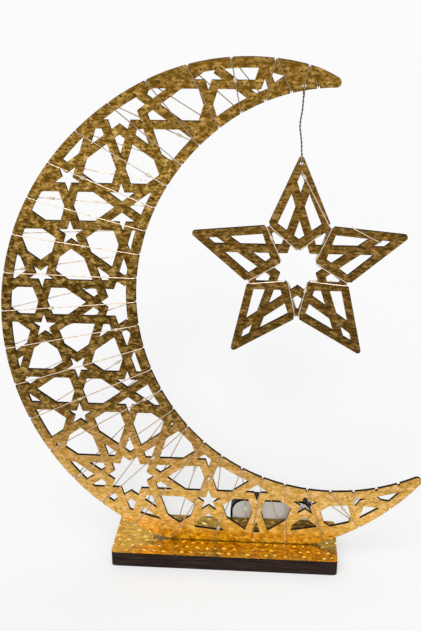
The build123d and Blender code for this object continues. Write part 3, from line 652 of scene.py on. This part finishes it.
def drop_places(node):
    """Middle, direction along the wire and outward direction of each drop of a CAD node. The vertices are
    taken in the mesh's own order, so that each run gives the same drops."""
    mesh = bmesh.new()
    mesh.from_mesh(nodes[node].data)
    bmesh.ops.remove_doubles(mesh, verts=mesh.verts, dist=0.01 * mm)
    places, left = [], set(mesh.verts)
    for first in mesh.verts:
        if first not in left:
            continue
        left.remove(first)
        solid, edge = [], [first]
        while edge:
            vertex = edge.pop()
            solid.append(vertex)
            for link in vertex.link_edges:
                other = link.other_vert(vertex)
                if other in left:
                    left.remove(other)
                    edge.append(other)
        points = [v.co / mm for v in solid]
        middle = sum(points, Vector()) / len(points)
        outward = -1 if middle.y < panel_middle else 1
        foot_y = min(p.y * outward for p in points) * outward
        foot = [p for p in points if abs(p.y - foot_y) < foot_depth]
        spans = [b - a for a in foot for b in foot]
        sides = [span for span in spans if abs(span.length - plain_drop_length) < drop_slack]
        longest = max(sides, key=lambda side: side.x)
        seat = Vector((middle.x, wire_front if outward < 0 else wire_back, middle.z))
        places.append((seat, longest.normalized(), Vector((0, outward, 0))))
    mesh.free()
    return sorted(places, key=lambda place: tuple(place[0]))


def drops(name, node, body):
    """Clear drops on the wire, each an egg that narrows to the wire at both ends and differs a little."""
    rng = Random(drop_seed)
    mesh = bmesh.new()
    for seat, along, outward in drop_places(node):
        grow = rng.uniform(*drop_growth)
        lean = rng.uniform(-drop_lean, drop_lean)
        turned = Matrix((along, outward.cross(along), outward)).transposed()
        made = bmesh.ops.create_uvsphere(mesh, u_segments=20, v_segments=14, radius=1.0)["verts"]
        for vertex in made:
            z = vertex.co.z
            waist = 1.0
            if abs(z) < 0.999:
                waist = sqrt(1 - abs(z) ** egg_power) / sqrt(1 - z * z)
            local = Vector((
                z * drop_length / 2,
                vertex.co.x * waist * drop_width / 2 * grow,
                vertex.co.y * waist * drop_height / 2 * grow + drop_lift * (1 - z * z) + lean * z,
            ))
            vertex.co = (seat + turned @ local) * mm
    data = bpy.data.meshes.new(name)
    bmesh.ops.recalc_face_normals(mesh, faces=mesh.faces)
    mesh.to_mesh(data)
    mesh.free()
    data.shade_smooth()
    piece = bpy.data.objects.new(name, data)
    bpy.context.scene.collection.objects.link(piece)
    data.materials.append(drop_resin)
    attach(piece, body)
    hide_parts(node)


drops("light_drops_crescent", "crescent_leds", "stand")
drops("light_drops_star", "star_leds", "star")


# Hanger: a wire ring through the crescent's hole, and two twisted strands that end in a ring through the
# star's hole
def ring(middle_z, spread, start, lift=0.0):
    """Control points of a wire ring across the board, its turns side by side, its top higher by the lift."""
    points = []
    count = int(ring_points * ring_turns)
    for k in range(count + 1):
        angle = start + 360 * ring_turns * k / count
        around = polar(eye_radius + lift * (1 + sin(radians(angle))) / 2, angle)
        x = hanger_x + spread * (k / count - 0.5)
        points.append(Vector((x, panel_middle + around.x, middle_z + around.y)))
    return points


upper_eye = hanger_z - eye_radius
lower_eye = hanger_z - hanger_length + eye_radius
shank_top = upper_eye - eye_radius - shank_gap
shank_bottom = lower_eye + eye_radius
eye_lines = [ring(upper_eye, wide_spread, eye_start), ring(upper_eye, narrow_spread, eye_start, eye_lift)]
wire("hanger_ring", eye_lines, strand_radius, hanger_metal, "hanger_top", "hanger_eye")


def strand(phase):
    """One strand of the twisted pair, with the slight wander of a hand-twisted wire."""
    points = []
    length = shank_top - shank_bottom
    count = int(length / twist_pitch * twist_points)
    for k in range(count + 1):
        share = k / count
        z = shank_bottom + length * share
        around = polar(twist_radius, phase + 360 * length * share / twist_pitch)
        wander = (shank_ripple * sin(3 * pi * share) - shank_bow) * sin(pi * share)
        points.append(Vector((hanger_x + around.x + wander, panel_middle + around.y, z)))
    return points


hanger_lines = [strand(0), strand(180), ring(lower_eye, narrow_spread, star_ring_start)]
wire("hanger_twist", hanger_lines, strand_radius, hanger_metal, "hanger", "hanger_wire")


def seen(tree, unseen, direct):
    """One value for rays that only carry light, another for the camera's rays, gloss and clear things."""
    path = tree.nodes.new("ShaderNodeLightPath")
    most = path.outputs["Is Camera Ray"]
    for name in ("Is Glossy Ray", "Is Transmission Ray"):
        larger = tree.nodes.new("ShaderNodeMath")
        larger.operation = "MAXIMUM"
        tree.links.new(most, larger.inputs[0])
        tree.links.new(path.outputs[name], larger.inputs[1])
        most = larger.outputs[0]
    choice = tree.nodes.new("ShaderNodeMapRange")
    tree.links.new(most, choice.inputs["Value"])
    choice.inputs["To Min"].default_value = unseen
    choice.inputs["To Max"].default_value = direct
    return choice.outputs["Result"]


# Stage: a pale floor under a white surround, and three broad soft lamps far enough to light it evenly
floor_half = 12.0  # metres
floor_glow = 0.5  # share of the floor that shows plain white, so that its shadow stays faint
sky_light = 0.52
floor_mesh = bpy.data.meshes.new("floor")
sides = [(-1, -1), (1, -1), (1, 1), (-1, 1)]
floor_mesh.from_pydata([(floor_half * x, floor_half * y, 0) for x, y in sides], [], [(0, 1, 2, 3)])
floor = bpy.data.objects.new("floor", floor_mesh)
bpy.context.scene.collection.objects.link(floor)
floor_paint = Graph("floor_paint")
dust = floor_paint.noise(60.0, 3.0)
floor_mesh.materials.append(
    floor_paint.done(floor_paint.mix(dust, (0.93, 0.93, 0.93), (0.95, 0.95, 0.95)), roughness=0.9))
pale = floor_paint.add("ShaderNodeEmission")
veil = floor_paint.add("ShaderNodeMixShader")
floor_paint.feed(veil.inputs[0], seen(floor_paint.tree, 0.0, floor_glow))
floor_paint.feed(veil.inputs[1], floor_paint.shader.outputs[0])
floor_paint.feed(veil.inputs[2], pale.outputs[0])
floor_paint.feed(floor_paint.tree.nodes["Material Output"].inputs["Surface"], veil.outputs[0])

world = bpy.data.worlds.new("studio")
bpy.context.scene.world = world
world.use_nodes = True
background = world.node_tree.nodes["Background"]
background.inputs["Color"].default_value = (1.0, 1.0, 1.0, 1.0)
world.node_tree.links.new(seen(world.node_tree, sky_light, 1.0), background.inputs["Strength"])


def lamp(name, azimuth, elevation, spread, strength):
    """A soft lamp far away: azimuth 0 is in front, 90 on the right, as seen from the camera."""
    data = bpy.data.lights.new(name, "SUN")
    data.angle, data.energy = radians(spread), strength
    light = bpy.data.objects.new(name, data)
    bpy.context.scene.collection.objects.link(light)
    flat = cos(radians(elevation))
    towards = Vector((sin(radians(azimuth)) * flat, -cos(radians(azimuth)) * flat, sin(radians(elevation))))
    light.rotation_euler = towards.to_track_quat("Z", "Y").to_euler()


lamp("key", azimuth=-32, elevation=55, spread=35, strength=0.7)
lamp("front", azimuth=2, elevation=31, spread=14, strength=1.15)
lamp("rear", azimuth=170, elevation=50, spread=50, strength=0.3)

# Camera at the photograph's place
camera_place = Vector((29.26, -505.43, 345.59))
camera_down, camera_left = 0.3618, 0.0762  # radians from a level look along +Y
camera_data = bpy.data.cameras.new("camera")
camera_data.lens = 55.135
camera_data.sensor_width = 36.0
camera = bpy.data.objects.new("camera", camera_data)
bpy.context.scene.collection.objects.link(camera)
camera.location = camera_place * mm
camera.rotation_euler = (pi / 2 - camera_down, 0.0, camera_left)
bpy.context.scene.camera = camera
bpy.context.scene.view_settings.view_transform = "Standard"
